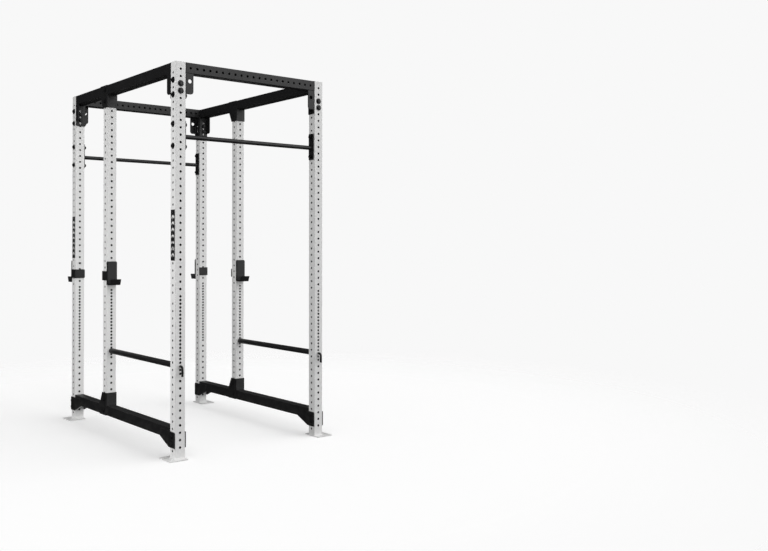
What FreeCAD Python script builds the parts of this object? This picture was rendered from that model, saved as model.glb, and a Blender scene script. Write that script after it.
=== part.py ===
import FreeCAD, Part
import Sketcher
import math
import os
import re

# Power cage: six punched square-tube uprights, bolted beams, two pull-up bars, two
# pin-and-pipe safeties and four J-cups.
#
# Millimetres, +Z up, +X to the lifter's right, +Y to the rear. The origin is on the floor at
# the centre of the four corner uprights. Heights called "levels" count hole steps up from the
# lowest hole in an upright's front face.

SIZES = (
    # overall
    ("post_spacing", 1168.4, "left to right upright centres"),
    ("main_bay", 1181.1, "front to middle upright centres"),
    ("rear_bay", 673.1, "middle to rear upright centres"),
    ("upright_length", 2743.2, "corner upright tube, which starts on its foot plate"),
    # square tube
    ("post_size", 76.2, "outer side of every square tube"),
    ("post_wall", 3.0, "wall of every square tube"),
    ("post_corner", 5.0, "outer corner radius of every square tube"),
    ("plate", 6.35, "thickness of every flange, gusset, saddle and J-cup plate"),
    # hole pattern
    ("pin_diameter", 15.875, "every pin and bolt, which fit the same holes"),
    ("hole_clearance", 0.8125, "punched hole to pin or bolt, on the radius"),
    ("hole_step", 25.4, "fine hole pitch; the coarse pitch is two steps"),
    ("lowest_hole", 76.2, "lowest front hole above the foot plate"),
    ("fine_first", 21, "first level of the fine front holes"),
    ("fine_last", 41, "last level of the fine front holes"),
    ("hole_end_margin", 40.0, "least distance from a hole centre to a tube's end"),
    # feet and caps
    ("foot_thickness", 6.35, "foot plate"),
    ("foot_margin", 50.8, "foot plate beyond the upright, front and rear"),
    ("foot_reach", 60.0, "foot plate beyond the upright, on the outside"),
    ("foot_corner", 6.0, "foot plate corner radius"),
    ("anchor_hole", 14.3, "floor anchor hole"),
    ("anchor_spacing", 114.3, "between a foot's two anchor holes"),
    ("cap_depth", 18.0, "plastic plug in the top of a corner upright"),
    ("cap_clearance", 0.2, "plug to tube wall"),
    # bolted joints
    ("corner_bolt_drop", 125.0, "least drop from the upright's top to a corner bolt"),
    ("flange_edge", 25.4, "last bolt centre to a flange's end"),
    ("flange_corner", 8.0, "flange corner radius"),
    ("gusset_width", 53.0, "corner gusset along its beam"),
    ("gusset_drop", 145.0, "corner gusset below its beam"),
    ("gusset_corner", 22.0, "corner gusset's free corner radius"),
    ("gusset_window", 28.0, "round window in a crossmember's gusset"),
    ("gusset_window_drop", 54.0, "window's centre below the beam"),
    ("crossmember_end", 20.0, "least distance from a crossmember hole to its end"),
    # low side beams
    ("low_beam_rise", 127.0, "foot plate's top to a low beam's underside"),
    ("low_beam_gap", 1.5, "low beam's end to the upright"),
    ("low_gusset_edge", 30.0, "low gusset beyond its bolt centres, above and below"),
    ("low_gusset_reach", 142.0, "low gusset along the beam from the upright's face"),
    ("low_gusset_toe", 8.0, "low gusset's lower edge past the upright"),
    ("low_gusset_corner", 10.0, "low gusset corner radius"),
    # saddles on the middle uprights
    ("saddle_height", 101.6, "saddle along the middle upright"),
    ("saddle_reach", 50.0, "saddle's wide end past the upright"),
    ("saddle_bend", 9.0, "outer radius of a saddle's bends"),
    # pull-up bars
    ("pullup_drop_steps", 15, "hole steps from the top crossmember bolts to the bars' centre"),
    ("pullup_bolt_steps", 3, "hole steps from the bar's centre to its flange bolts"),
    ("pullup_flange_width", 63.5, "pull-up bar's flange"),
    ("pullup_offset", 8.0, "pull-up bar's centre below its flanges' middle"),
    ("pullup_diameter", 31.75, "pull-up bar"),
    ("pullup_wall", 3.0, "pull-up bar wall"),
    # safeties
    ("safety_level", 22, "level of the safety pins"),
    ("pipe_diameter", 42.2, "safety pipe"),
    ("pipe_wall", 3.56, "safety pipe wall"),
    ("pipe_end_gap", 3.5, "safety pipe's end to the upright"),
    ("bush_clearance", 0.5, "bush bore to pin, on the radius"),
    ("bush_depth", 25.0, "bush inside the pipe"),
    ("bush_collar", 2.5, "bush collar outside the pipe"),
    ("pin_front_reach", 33.0, "safety pin's bend in front of the upright"),
    ("pin_rear_reach", 14.0, "safety pin's tail behind the middle upright"),
    ("pin_bend", 22.0, "centreline radius of the safety pin's bend"),
    ("pin_handle", 68.0, "safety pin's handle below its centreline"),
    ("pin_chamfer", 2.0, "chamfer on a pin's end"),
    # J-cups
    ("cup_level", 49, "level of the J-cup pins"),
    ("cup_gap", 0.8, "J-cup plate to the upright"),
    ("cup_width", 84.0, "J-cup plate and shelf"),
    ("cup_top", 22.9, "J-cup plate above its pin"),
    ("cup_bottom", 162.6, "J-cup shelf's underside below its pin"),
    ("shelf_depth", 60.0, "shelf from the plate to the foot of the lip"),
    ("lip_reach", 78.0, "lip's tip from the plate"),
    ("lip_height", 46.0, "lip's tip above the shelf's underside"),
    ("lip_width", 7.0, "lip measured along the shelf"),
    ("strap_top", 53.3, "strap's upper edge below the pin"),
    ("strap_bottom", 127.0, "strap's lower edge below the pin"),
    ("cup_corner", 9.0, "J-cup corner radius"),
    ("cup_bend", 6.0, "outer radius of the strap's bends"),
    ("liner_thickness", 9.5, "J-cup plastic liner"),
    ("liner_inset", 3.0, "liner inside the plate's side and top edges"),
    ("cup_pin_reach", 8.0, "J-cup pin's tip beyond the upright"),
    # fasteners
    ("bolt_tip", 2.5, "bolt beyond its nut"),
    ("bolt_head_size", 23.8, "head and nut across the flats"),
    ("bolt_head_height", 9.9, "bolt head"),
    ("nut_height", 18.0, "lock nut"),
    ("washer_diameter", 44.45, "washer outside"),
    ("washer_clearance", 0.4, "washer bore to bolt, on the radius"),
    ("washer_thickness", 2.5, "washer"),
    ("hex_chamfer", 1.2, "chamfer on heads and nuts"),
    # labels
    ("label_width", 62.0, "label across the upright"),
    ("label_length", 353.0, "label along the upright"),
    ("label_drop", 1026.2, "upright's top to the label's top edge"),
    ("label_thickness", 0.4, "label"),
)

# Lengths and heights that several sub-parts share, as expressions of the sizes above.
# Heights are above the foot plates' tops.
DEPTH = "(main_bay + rear_bay)"
HOLE = "(pin_diameter + 2 * hole_clearance)"
COARSE_STEP = "(2 * hole_step)"
LOW_BEAM_TOP = "(low_beam_rise + post_size)"
TOP_BEAM_UNDERSIDE = "(upright_length - post_size)"
POST_X = {"left": "-post_spacing / 2", "right": "post_spacing / 2"}
POST_Y = {"front": f"-{DEPTH} / 2", "mid": f"main_bay - {DEPTH} / 2", "rear": f"{DEPTH} / 2"}
OUTWARD = {"left": -1, "right": 1}


def level(number):
    """Height of a level above the foot plates' tops."""
    return f"(lowest_hole + ({number}) * hole_step)"


def even_level_below(height):
    """Highest even level that is not above a height."""
    return f"(2 * floor(({height} - lowest_hole) / {COARSE_STEP}))"


def odd_level_below(height):
    """Highest odd level that is not above a height."""
    return f"(2 * floor(({height} - lowest_hole - hole_step) / {COARSE_STEP}) + 1)"


# Corner bolts sit in the highest free side holes (crossmembers) and front holes (side beams).
CROSS_BOLTS_TOP = even_level_below("(upright_length - corner_bolt_drop)")
CROSS_BOLTS_LOW = f"({CROSS_BOLTS_TOP} - 4)"
BEAM_BOLTS_TOP = f"({CROSS_BOLTS_TOP} - 1)"
BEAM_BOLTS_LOW = f"({CROSS_BOLTS_TOP} - 3)"
LABEL_TOP = "(upright_length - label_drop)"
LABEL_BOTTOM = f"({LABEL_TOP} - label_length)"
PULLUP = f"({CROSS_BOLTS_TOP} - pullup_drop_steps)"
PULLUP_BOLTS = (f"({PULLUP} - pullup_bolt_steps)", f"({PULLUP} + pullup_bolt_steps)")
LOW_GUSSET_LEVELS = ("1", "3")
# The middle uprights' bolts sit in the side holes next to the beams.
MID_FIRST_FRONT = f"({even_level_below(f'({LOW_BEAM_TOP} + hole_end_margin)')} + 2)"
MID_FIRST_SIDE = f"({odd_level_below(f'({LOW_BEAM_TOP} + hole_end_margin)')} + 2)"
MID_TOP_BOLT = even_level_below(f"({TOP_BEAM_UNDERSIDE} - hole_end_margin)")
CORNER_FLANGE_BOTTOM = f"({level(CROSS_BOLTS_LOW)} - flange_edge)"
# One flange plate serves every corner: a fine row of holes, of which each joint uses two.
CORNER_FLANGE_HOLES = tuple(f"({CROSS_BOLTS_LOW} + {step})" for step in range(5))

doc = FreeCAD.newDocument("PowerCage")
sheet = doc.addObject("Spreadsheet::Sheet", "Sizes")
for row, (alias, value, note) in enumerate(SIZES, start=1):
    sheet.set(f"A{row}", str(value))
    sheet.set(f"B{row}", note)
    sheet.setAlias(f"A{row}", alias)
doc.recompute()

ALIAS = re.compile(r"\b(" + "|".join(alias for alias, _, _ in SIZES) + r")\b")
nodes = []


def bind(thing, name, text):
    """Tie a property or a sketch constraint to an expression of the sheet's aliases."""
    thing.setExpression(name, ALIAS.sub(r"Sizes.\1", text))


# --- small building blocks -------------------------------------------------------------------

def new_body(label, place=("0", "0", "0")):
    """A body placed by three expressions."""
    body = doc.addObject("PartDesign::Body", label)
    body.Label = label
    for axis, text in zip("xyz", place):
        bind(body, f"Placement.Base.{axis}", text)
    return body


def new_node(label, place=("0", "0", "0")):
    """A body that is written out as a sub-part."""
    body = new_body(label, place)
    nodes.append(body)
    return body


def datum(body, role):
    """One of a body's own origin planes or axes."""
    return next(item for item in body.Origin.OriginFeatures if item.Role == role)


def sketch_on(body, role, offset="0"):
    """An empty sketch on an origin plane, moved along the plane's normal."""
    sketch = body.newObject("Sketcher::SketchObject", "Sketch")
    sketch.AttachmentSupport = [(datum(body, role), "")]
    sketch.MapMode = "FlatFace"
    bind(sketch, "AttachmentOffset.Base.z", offset)
    return sketch


def fix_point(sketch, curve, point, position):
    """Hold a sketch point at a position given by two expressions."""
    for kind, text in zip(("DistanceX", "DistanceY"), position):
        place = sketch.getPoint(curve, point)
        current = place.x if kind == "DistanceX" else place.y
        constraint = Sketcher.Constraint(kind, -1, 1, curve, point, current)
        bind(sketch, f"Constraints[{sketch.addConstraint(constraint)}]", text)


def outline(sketch, corners):
    """A closed polygon through corners given as pairs of expressions."""
    count = len(corners)
    start = sketch.GeometryCount
    ring = []
    for index in range(count):
        turn = 2 * math.pi * index / count
        ring.append(FreeCAD.Vector(math.cos(turn), math.sin(turn), 0))
    for index in range(count):
        sketch.addGeometry(Part.LineSegment(ring[index], ring[(index + 1) % count]), False)
    for index in range(count):
        after = start + (index + 1) % count
        sketch.addConstraint(Sketcher.Constraint("Coincident", start + index, 2, after, 1))
        fix_point(sketch, start + index, 1, corners[index])


def rectangle(sketch, low, high):
    """A rectangle between two corners given as pairs of expressions."""
    outline(sketch, (low, (high[0], low[1]), high, (low[0], high[1])))


def circle(sketch, centre, diameter):
    """A circle with its centre and diameter given as expressions."""
    curve = sketch.addGeometry(
        Part.Circle(FreeCAD.Vector(0, 0, 0), FreeCAD.Vector(0, 0, 1), 1), False)
    fix_point(sketch, curve, 3, centre)
    size = sketch.addConstraint(Sketcher.Constraint("Diameter", curve, 2.0))
    bind(sketch, f"Constraints[{size}]", diameter)


def hexagon(sketch, centre, across):
    """A hexagon with the given distance across its flats."""
    spoke = f"{across} / sqrt(3)"
    half = f"{across} / 2"
    offsets = (
        (f"+ {spoke}", ""), (f"+ {spoke} / 2", f"+ {half}"), (f"- {spoke} / 2", f"+ {half}"),
        (f"- {spoke}", ""), (f"- {spoke} / 2", f"- {half}"), (f"+ {spoke} / 2", f"- {half}"))
    outline(sketch, [(f"{centre[0]} {x}", f"{centre[1]} {y}") for x, y in offsets])


def pad(body, sketch, length, both_ways=False, backwards=False):
    """Extrude a sketch along its normal."""
    feature = body.newObject("PartDesign::Pad", "Pad")
    feature.Profile = sketch
    feature.SideType = "Symmetric" if both_ways else "One side"
    feature.Reversed = backwards
    bind(feature, "Length", length)
    doc.recompute()
    return feature


def cut_through(body, sketch):
    """Cut a sketch through the whole body, both ways."""
    before = body.Shape.Volume
    feature = body.newObject("PartDesign::Pocket", "Pocket")
    feature.Profile = sketch
    feature.Type = "ThroughAll"
    feature.Midplane = True
    doc.recompute()
    if not feature.Shape.Volume < before:
        raise RuntimeError(f"{body.Label}: a pocket cut nothing")
    return feature


def repeat_up(body, feature, step, count):
    """Repeat a feature upwards."""
    pattern = body.newObject("PartDesign::LinearPattern", "Row")
    pattern.Originals = [feature]
    pattern.Direction = (datum(body, "Z_Axis"), [""])
    pattern.Mode = "Spacing"
    bind(pattern, "Offset", step)
    bind(pattern, "Occurrences", count)
    body.Tip = pattern
    doc.recompute()


def mirror(body, *roles):
    """Mirror the whole body about its origin planes, one after another."""
    for role in roles:
        before = body.Shape.Volume
        feature = body.newObject("PartDesign::Mirrored", "Mirror")
        feature.TransformMode = "Whole shape"
        feature.MirrorPlane = (datum(body, role), [""])
        body.Tip = feature
        doc.recompute()
        if not feature.Shape.Volume > 1.5 * before:
            raise RuntimeError(f"{body.Label}: a mirror added nothing")


def straight_edges(feature, direction, keep):
    """Names of a feature's straight edges along a direction whose middle passes a test."""
    names = []
    for number, edge in enumerate(feature.Shape.Edges, start=1):
        if edge.Curve.TypeId != "Part::GeomLine":
            continue
        along = edge.Curve.Direction.dot(FreeCAD.Vector(*direction))
        if abs(abs(along) - 1) < 1e-6 and keep(edge.CenterOfMass):
            names.append(f"Edge{number}")
    return names


def soften(body, base, names, radius, kind="Fillet"):
    """Fillet or chamfer named edges of a feature."""
    if not names:
        raise RuntimeError(f"{body.Label}: no edges to soften")
    feature = body.newObject(f"PartDesign::{kind}", kind)
    feature.Base = (base, names)
    bind(feature, "Radius" if kind == "Fillet" else "Size", radius)
    doc.recompute()
    return feature


def amount(alias):
    """Present value of one size."""
    return float(sheet.get(alias))


# --- square tubes ----------------------------------------------------------------------------

def square_tube(body, role, length, offset="0", both_ways=True):
    """A hollow square tube with rounded corners, along the normal of an origin plane."""
    sketch = sketch_on(body, role, offset)
    inner = "(post_size / 2 - post_wall)"
    rectangle(sketch, ("-post_size / 2", "-post_size / 2"), ("post_size / 2", "post_size / 2"))
    rectangle(sketch, (f"-{inner}", f"-{inner}"), (inner, inner))
    tube = pad(body, sketch, length, both_ways)
    direction = {"XY_Plane": (0, 0, 1), "XZ_Plane": (0, 1, 0), "YZ_Plane": (1, 0, 0)}[role]
    wall_middle = amount("post_size") / 2 - amount("post_wall") / 2

    def is_outer(point):
        return max(abs(value) for value, along in zip(point, direction) if not along) > wall_middle

    rounded = soften(body, tube, straight_edges(tube, direction, is_outer), "post_corner")
    inside = straight_edges(rounded, direction,
                            lambda point: _square_corner(point, direction))
    return soften(body, rounded, inside, "post_corner - post_wall")


def _square_corner(point, direction):
    """Whether a point is on an inner corner of a square tube."""
    inner = amount("post_size") / 2 - amount("post_wall")
    across = [abs(value) for value, along in zip(point, direction) if not along]
    return all(abs(value - inner) < 1e-3 for value in across)


def hole_row(body, role, first, step, count):
    """A vertical row of holes right through a tube, from one level upwards."""
    sketch = sketch_on(body, role)
    circle(sketch, ("0", level(first)), HOLE)
    repeat_up(body, cut_through(body, sketch), step, count)


def coarse_count(first, top):
    """How many coarse holes fit from a level up to a tube's top."""
    return f"floor(({top} - hole_end_margin - {level(first)}) / {COARSE_STEP}) + 1"


def upright(name, side, station, bottom, top, first_front, first_side):
    """An upright with coarse and fine front holes and coarse side holes."""
    body = new_node(f"upright_{name}", (POST_X[side], POST_Y[station], "foot_thickness"))
    square_tube(body, "XY_Plane", f"{top} - {bottom}", bottom, both_ways=False)
    hole_row(body, "XZ_Plane", first_front, COARSE_STEP, f"(fine_first - 1 - {first_front}) / 2 + 1")
    hole_row(body, "XZ_Plane", "fine_first", "hole_step", "fine_last - fine_first + 1")
    hole_row(body, "XZ_Plane", "fine_last + 2", COARSE_STEP, coarse_count("fine_last + 2", top))
    hole_row(body, "YZ_Plane", first_side, COARSE_STEP, f"(fine_last - 2 - {first_side}) / 2 + 1")
    hole_row(body, "YZ_Plane", "fine_last + 1", COARSE_STEP, coarse_count("fine_last + 1", top))


def uprights():
    for side in POST_X:
        for station in ("front", "rear"):
            upright(f"{station}_{side}", side, station, "0", "upright_length", "0", "-1")
        upright(f"mid_{side}", side, "mid", LOW_BEAM_TOP, TOP_BEAM_UNDERSIDE,
                MID_FIRST_FRONT, MID_FIRST_SIDE)


def crossmembers():
    """Front and rear top tubes, with a row of holes centred on the cage."""
    length = "(post_spacing - post_size - 2 * plate)"
    half_row = f"floor(({length} / 2 - crossmember_end) / {COARSE_STEP})"
    for station in ("front", "rear"):
        body = new_node(f"{station}_crossmember",
                        ("0", POST_Y[station], "foot_thickness + upright_length - post_size / 2"))
        square_tube(body, "YZ_Plane", length)
        sketch = sketch_on(body, "XZ_Plane")
        circle(sketch, (f"-{half_row} * {COARSE_STEP}", "0"), HOLE)
        hole = cut_through(body, sketch)
        row = body.newObject("PartDesign::LinearPattern", "Row")
        row.Originals = [hole]
        row.Direction = (datum(body, "X_Axis"), [""])
        row.Mode = "Spacing"
        bind(row, "Offset", COARSE_STEP)
        bind(row, "Occurrences", f"2 * {half_row} + 1")
        body.Tip = row
        doc.recompute()


def side_beams():
    """Top and low side tubes, each with one bolt hole for the saddle."""
    top_z = "foot_thickness + upright_length - post_size / 2"
    low_z = "foot_thickness + low_beam_rise + post_size / 2"
    for side in POST_X:
        for name, height, end in (("top", top_z, "plate"), ("low", low_z, "low_beam_gap")):
            body = new_node(f"{side}_{name}_beam", (POST_X[side], "0", height))
            square_tube(body, "XZ_Plane", f"{DEPTH} - post_size - 2 * {end}")
            sketch = sketch_on(body, "YZ_Plane")
            circle(sketch, (POST_Y["mid"], "0"), HOLE)
            cut_through(body, sketch)


# --- plates ----------------------------------------------------------------------------------

def foot_plates():
    """Foot plates, flush with the upright inside the cage, with anchor holes outside it."""
    for side, sign in OUTWARD.items():
        for station in ("front", "rear"):
            body = new_node(f"foot_plate_{station}_{side}", (POST_X[side], POST_Y[station], "0"))
            sketch = sketch_on(body, "XY_Plane")
            rectangle(sketch, (f"{-sign} * post_size / 2", "-(post_size / 2 + foot_margin)"),
                      (f"{sign} * (post_size / 2 + foot_reach)", "post_size / 2 + foot_margin"))
            base = pad(body, sketch, "foot_thickness")
            soften(body, base, straight_edges(base, (0, 0, 1), lambda point: True), "foot_corner")
            holes = sketch_on(body, "XY_Plane")
            for end in ("-", ""):
                circle(holes, (f"{sign} * (post_size + foot_reach) / 2", f"{end}anchor_spacing / 2"),
                       "anchor_hole")
            cut_through(body, holes)


def end_flanges(label, place, role, span, width, bottom, top, bolt_levels):
    """Two flanges, one on the inner face of each upright that a beam runs between."""
    body = new_node(label, place)
    sketch = sketch_on(body, role, f"{span} / 2 - post_size / 2 - plate")
    rectangle(sketch, (f"-{width} / 2", bottom), (f"{width} / 2", top))
    flange = pad(body, sketch, "plate")
    through = (1, 0, 0) if role == "YZ_Plane" else (0, 1, 0)
    middle = flange.Shape.BoundBox.Center.z
    low_corners = straight_edges(flange, through, lambda point: point.z < middle)
    soften(body, flange, low_corners, "flange_corner")
    holes = sketch_on(body, role)
    for number in bolt_levels:
        circle(holes, ("0", level(number)), HOLE)
    cut_through(body, holes)
    mirror(body, role)


def corner_gussets(label, place, role, span, outer_side):
    """A gusset under each end of a top beam, flush with its outer side; a crossmember's have windows."""
    body = new_node(label, place)
    inner_face = "post_size / 2 - plate" if outer_side > 0 else "-post_size / 2"
    sketch = sketch_on(body, role, inner_face)
    near = f"({span} / 2 - post_size / 2 - plate)"
    rectangle(sketch, (f"-{near}", f"{TOP_BEAM_UNDERSIDE} - gusset_drop"),
              (f"gusset_width - {near}", TOP_BEAM_UNDERSIDE))
    gusset = pad(body, sketch, "plate")
    along_x = role == "XZ_Plane"
    middle = gusset.Shape.BoundBox.Center

    def is_free_corner(point):
        inward = point.x > middle.x if along_x else point.y > middle.y
        return inward and point.z < middle.z

    through = (0, 1, 0) if along_x else (1, 0, 0)
    soften(body, gusset, straight_edges(gusset, through, is_free_corner), "gusset_corner")
    if along_x:
        window = sketch_on(body, role)
        circle(window, (f"gusset_width / 2 - {near}", f"{TOP_BEAM_UNDERSIDE} - gusset_window_drop"),
               "gusset_window")
        cut_through(body, window)
    mirror(body, "YZ_Plane" if along_x else "XZ_Plane")


def top_plates():
    """Flanges and gussets of the crossmembers and the top side beams."""
    for station in ("front", "rear"):
        place = ("0", POST_Y[station], "foot_thickness")
        end_flanges(f"{station}_crossmember_flanges", place, "YZ_Plane", "post_spacing",
                    "post_size", CORNER_FLANGE_BOTTOM, "upright_length", CORNER_FLANGE_HOLES)
        # The normal of an XZ plane points to the front.
        corner_gussets(f"{station}_crossmember_gussets", place, "XZ_Plane", "post_spacing",
                       1 if station == "front" else -1)
    for side, outward in OUTWARD.items():
        place = (POST_X[side], "0", "foot_thickness")
        end_flanges(f"{side}_top_beam_flanges", place, "XZ_Plane", DEPTH,
                    "post_size", CORNER_FLANGE_BOTTOM, "upright_length", CORNER_FLANGE_HOLES)
        corner_gussets(f"{side}_top_beam_gussets", place, "YZ_Plane", DEPTH, outward)


def low_gussets():
    """Four plates on each low beam, on both sides of the upright at both ends."""
    outer = f"-({DEPTH} + post_size) / 2"
    inner = f"(post_size - {DEPTH}) / 2"
    bottom = f"{level(LOW_GUSSET_LEVELS[0])} - low_gusset_edge"
    top = f"{level(LOW_GUSSET_LEVELS[1])} + low_gusset_edge"
    for side in POST_X:
        body = new_node(f"{side}_low_beam_gussets", (POST_X[side], "0", "foot_thickness"))
        sketch = sketch_on(body, "YZ_Plane", "post_size / 2")
        outline(sketch, (
            (outer, bottom),
            (f"{inner} + low_gusset_toe", bottom),
            (f"{inner} + low_gusset_reach", "low_beam_rise"),
            (f"{inner} + low_gusset_reach", top),
            (outer, top)))
        gusset = pad(body, sketch, "plate")
        middle = gusset.Shape.BoundBox.Center.z
        upper = straight_edges(gusset, (1, 0, 0), lambda point: point.z > middle)
        soften(body, gusset, upper, "low_gusset_corner")
        holes = sketch_on(body, "YZ_Plane")
        for number in LOW_GUSSET_LEVELS:
            circle(holes, (POST_Y["front"], level(number)), HOLE)
        cut_through(body, holes)
        mirror(body, "YZ_Plane", "XZ_Plane")


def saddle(label, side, beam_low, beam_high, free_end, beam_edge, bolt_level):
    """A plate bent round a middle upright, with its side plates bolted to the beam."""
    body = new_node(label, (POST_X[side], POST_Y["mid"], "foot_thickness"))
    far_edge = f"({beam_low} + {beam_high} - {beam_edge})"
    sketch = sketch_on(body, "YZ_Plane")
    outline(sketch, (
        ("-(post_size / 2 + plate)", far_edge),
        ("post_size / 2 + saddle_reach", far_edge),
        ("post_size / 2 + saddle_reach", beam_edge),
        ("post_size / 2", free_end),
        ("-(post_size / 2 + plate)", free_end)))
    block = pad(body, sketch, "post_size + 2 * plate", both_ways=True)
    front = block.Shape.BoundBox.YMin
    bends = straight_edges(block, (0, 0, 1), lambda point: point.y < front + 1)
    soften(body, block, bends, "saddle_bend")
    inside = sketch_on(body, "XY_Plane")
    rectangle(inside, ("-post_size / 2", "-post_size / 2"),
              ("post_size / 2", "post_size + saddle_reach"))
    cut_through(body, inside)
    beam = sketch_on(body, "XZ_Plane")
    rectangle(beam, ("-post_size / 2", beam_low), ("post_size / 2", beam_high))
    cut_through(body, beam)
    holes = sketch_on(body, "YZ_Plane")
    for height in (level(bolt_level), f"({beam_low} + {beam_high}) / 2"):
        circle(holes, ("0", height), HOLE)
    cut_through(body, holes)


def saddles():
    """Low and top saddles; each grows with the level of the bolt through its upright."""
    low_end = f"max({LOW_BEAM_TOP} + saddle_height, {level(MID_FIRST_SIDE)} + flange_edge)"
    top_end = f"min({TOP_BEAM_UNDERSIDE} - saddle_height, {level(MID_TOP_BOLT)} - flange_edge)"
    for side in POST_X:
        saddle(f"{side}_low_saddle", side, "low_beam_rise", LOW_BEAM_TOP, low_end,
               LOW_BEAM_TOP, MID_FIRST_SIDE)
        saddle(f"{side}_top_saddle", side, TOP_BEAM_UNDERSIDE, "upright_length", top_end,
               TOP_BEAM_UNDERSIDE, MID_TOP_BOLT)


def top_caps():
    """Plastic plugs in the tops of the corner uprights."""
    body = new_node("upright_top_caps", ("0", "0", "foot_thickness"))
    sketch = sketch_on(body, "XY_Plane", "upright_length - cap_depth")
    half = "(post_size / 2 - post_wall - cap_clearance)"
    rectangle(sketch, (f"{POST_X['left']} - {half}", f"{POST_Y['front']} - {half}"),
              (f"{POST_X['left']} + {half}", f"{POST_Y['front']} + {half}"))
    plug = pad(body, sketch, "cap_depth")
    corners = straight_edges(plug, (0, 0, 1), lambda point: True)
    soften(body, plug, corners, "post_corner - post_wall")
    mirror(body, "YZ_Plane", "XZ_Plane")


def labels():
    """Thin labels on the outer faces of the two left corner uprights, punched like them."""
    body = new_node("upright_labels", (POST_X["left"], "0", "foot_thickness"))
    sketch = sketch_on(body, "YZ_Plane", "-(post_size / 2 + label_thickness)")
    rectangle(sketch, (f"{POST_Y['front']} - label_width / 2", LABEL_BOTTOM),
              (f"{POST_Y['front']} + label_width / 2", LABEL_TOP))
    pad(body, sketch, "label_thickness")
    first = f"({even_level_below(LABEL_BOTTOM)} + 2)"
    holes = sketch_on(body, "YZ_Plane")
    circle(holes, (POST_Y["front"], level(first)), HOLE)
    last = even_level_below(LABEL_TOP)
    repeat_up(body, cut_through(body, holes), COARSE_STEP, f"({last} - {first}) / 2 + 1")
    mirror(body, "XZ_Plane")


# --- pull-up bars and safeties ---------------------------------------------------------------

def pullup_bars():
    for station in ("front", "rear"):
        bar = new_node(f"{station}_pullup_bar",
                       ("0", POST_Y[station], f"foot_thickness + {level(PULLUP)} - pullup_offset"))
        sketch = sketch_on(bar, "YZ_Plane")
        circle(sketch, ("0", "0"), "pullup_diameter")
        circle(sketch, ("0", "0"), "pullup_diameter - 2 * pullup_wall")
        pad(bar, sketch, "post_spacing - post_size - 2 * plate", both_ways=True)
        end_flanges(f"{station}_pullup_flanges", ("0", POST_Y[station], "foot_thickness"),
                    "YZ_Plane", "post_spacing", "pullup_flange_width",
                    f"{level(PULLUP_BOLTS[0])} - flange_edge",
                    f"{level(PULLUP_BOLTS[1])} + flange_edge", PULLUP_BOLTS)


def safety_pipes():
    """Pipes between the front and middle uprights, with a collared bush in each end."""
    length = "(main_bay - post_size - 2 * pipe_end_gap)"
    bore = "(pin_diameter + 2 * bush_clearance)"
    height = f"foot_thickness + {level('safety_level')}"
    for side in POST_X:
        place = (POST_X[side], f"{POST_Y['front']} + main_bay / 2", height)
        pipe = new_node(f"{side}_safety_pipe", place)
        sketch = sketch_on(pipe, "XZ_Plane")
        circle(sketch, ("0", "0"), "pipe_diameter")
        circle(sketch, ("0", "0"), "pipe_diameter - 2 * pipe_wall")
        pad(pipe, sketch, length, both_ways=True)
        bush = new_node(f"{side}_safety_bushes", place)
        for size, depth, backwards in (("pipe_diameter - 2 * pipe_wall", "bush_depth", True),
                                       ("pipe_diameter", "bush_collar", False)):
            ring = sketch_on(bush, "XZ_Plane", f"{length} / 2")
            circle(ring, ("0", "0"), size)
            circle(ring, ("0", "0"), bore)
            pad(bush, ring, depth, backwards=backwards)
        mirror(bush, "XZ_Plane")


def safety_pins():
    """Rods through the front upright, the pipe and the middle upright, bent down in front."""
    tail = f"{POST_Y['mid']} + post_size / 2 + pin_rear_reach"
    front = f"{POST_Y['front']} - post_size / 2 - pin_front_reach"
    for side in POST_X:
        body = new_node(f"{side}_safety_pin",
                        (POST_X[side], "0", f"foot_thickness + {level('safety_level')}"))
        rod = sketch_on(body, "XZ_Plane", f"-({tail})")
        circle(rod, ("0", "0"), "pin_diameter")
        straight = pad(body, rod, f"({tail}) - ({front}) - pin_bend")
        tail_ring = [f"Edge{number}" for number, edge in enumerate(straight.Shape.Edges, start=1)
                     if edge.BoundBox.YMin > straight.Shape.BoundBox.YMax - 1e-3]
        soften(body, straight, tail_ring, "pin_chamfer", "Chamfer")
        elbow = sketch_on(body, "XZ_Plane", f"-({front}) - pin_bend")
        circle(elbow, ("0", "0"), "pin_diameter")
        axis = sketch_on(body, "XZ_Plane", f"-({front}) - pin_bend")
        line = axis.addGeometry(Part.LineSegment(FreeCAD.Vector(-9, -9, 0),
                                                 FreeCAD.Vector(9, -9, 0)), False)
        fix_point(axis, line, 1, ("-pin_bend", "-pin_bend"))
        fix_point(axis, line, 2, ("pin_bend", "-pin_bend"))
        bend = body.newObject("PartDesign::Revolution", "Bend")
        bend.Profile = elbow
        bend.ReferenceAxis = (axis, ["Edge1"])
        bend.Angle = 90
        doc.recompute()
        if bend.Shape.BoundBox.YMin > straight.Shape.BoundBox.YMin - 1:
            bend.Reversed = True
            doc.recompute()
        handle = sketch_on(body, "XY_Plane", "-pin_bend")
        circle(handle, ("0", front), "pin_diameter")
        pad(body, handle, "pin_handle - pin_bend", backwards=True)


# --- J-cups ----------------------------------------------------------------------------------

# Distances from the upright's centre to the J-cup plate's two faces.
CUP_BACK = "(post_size / 2 + cup_gap)"
CUP_FRONT = "(post_size / 2 + cup_gap + plate)"


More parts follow.
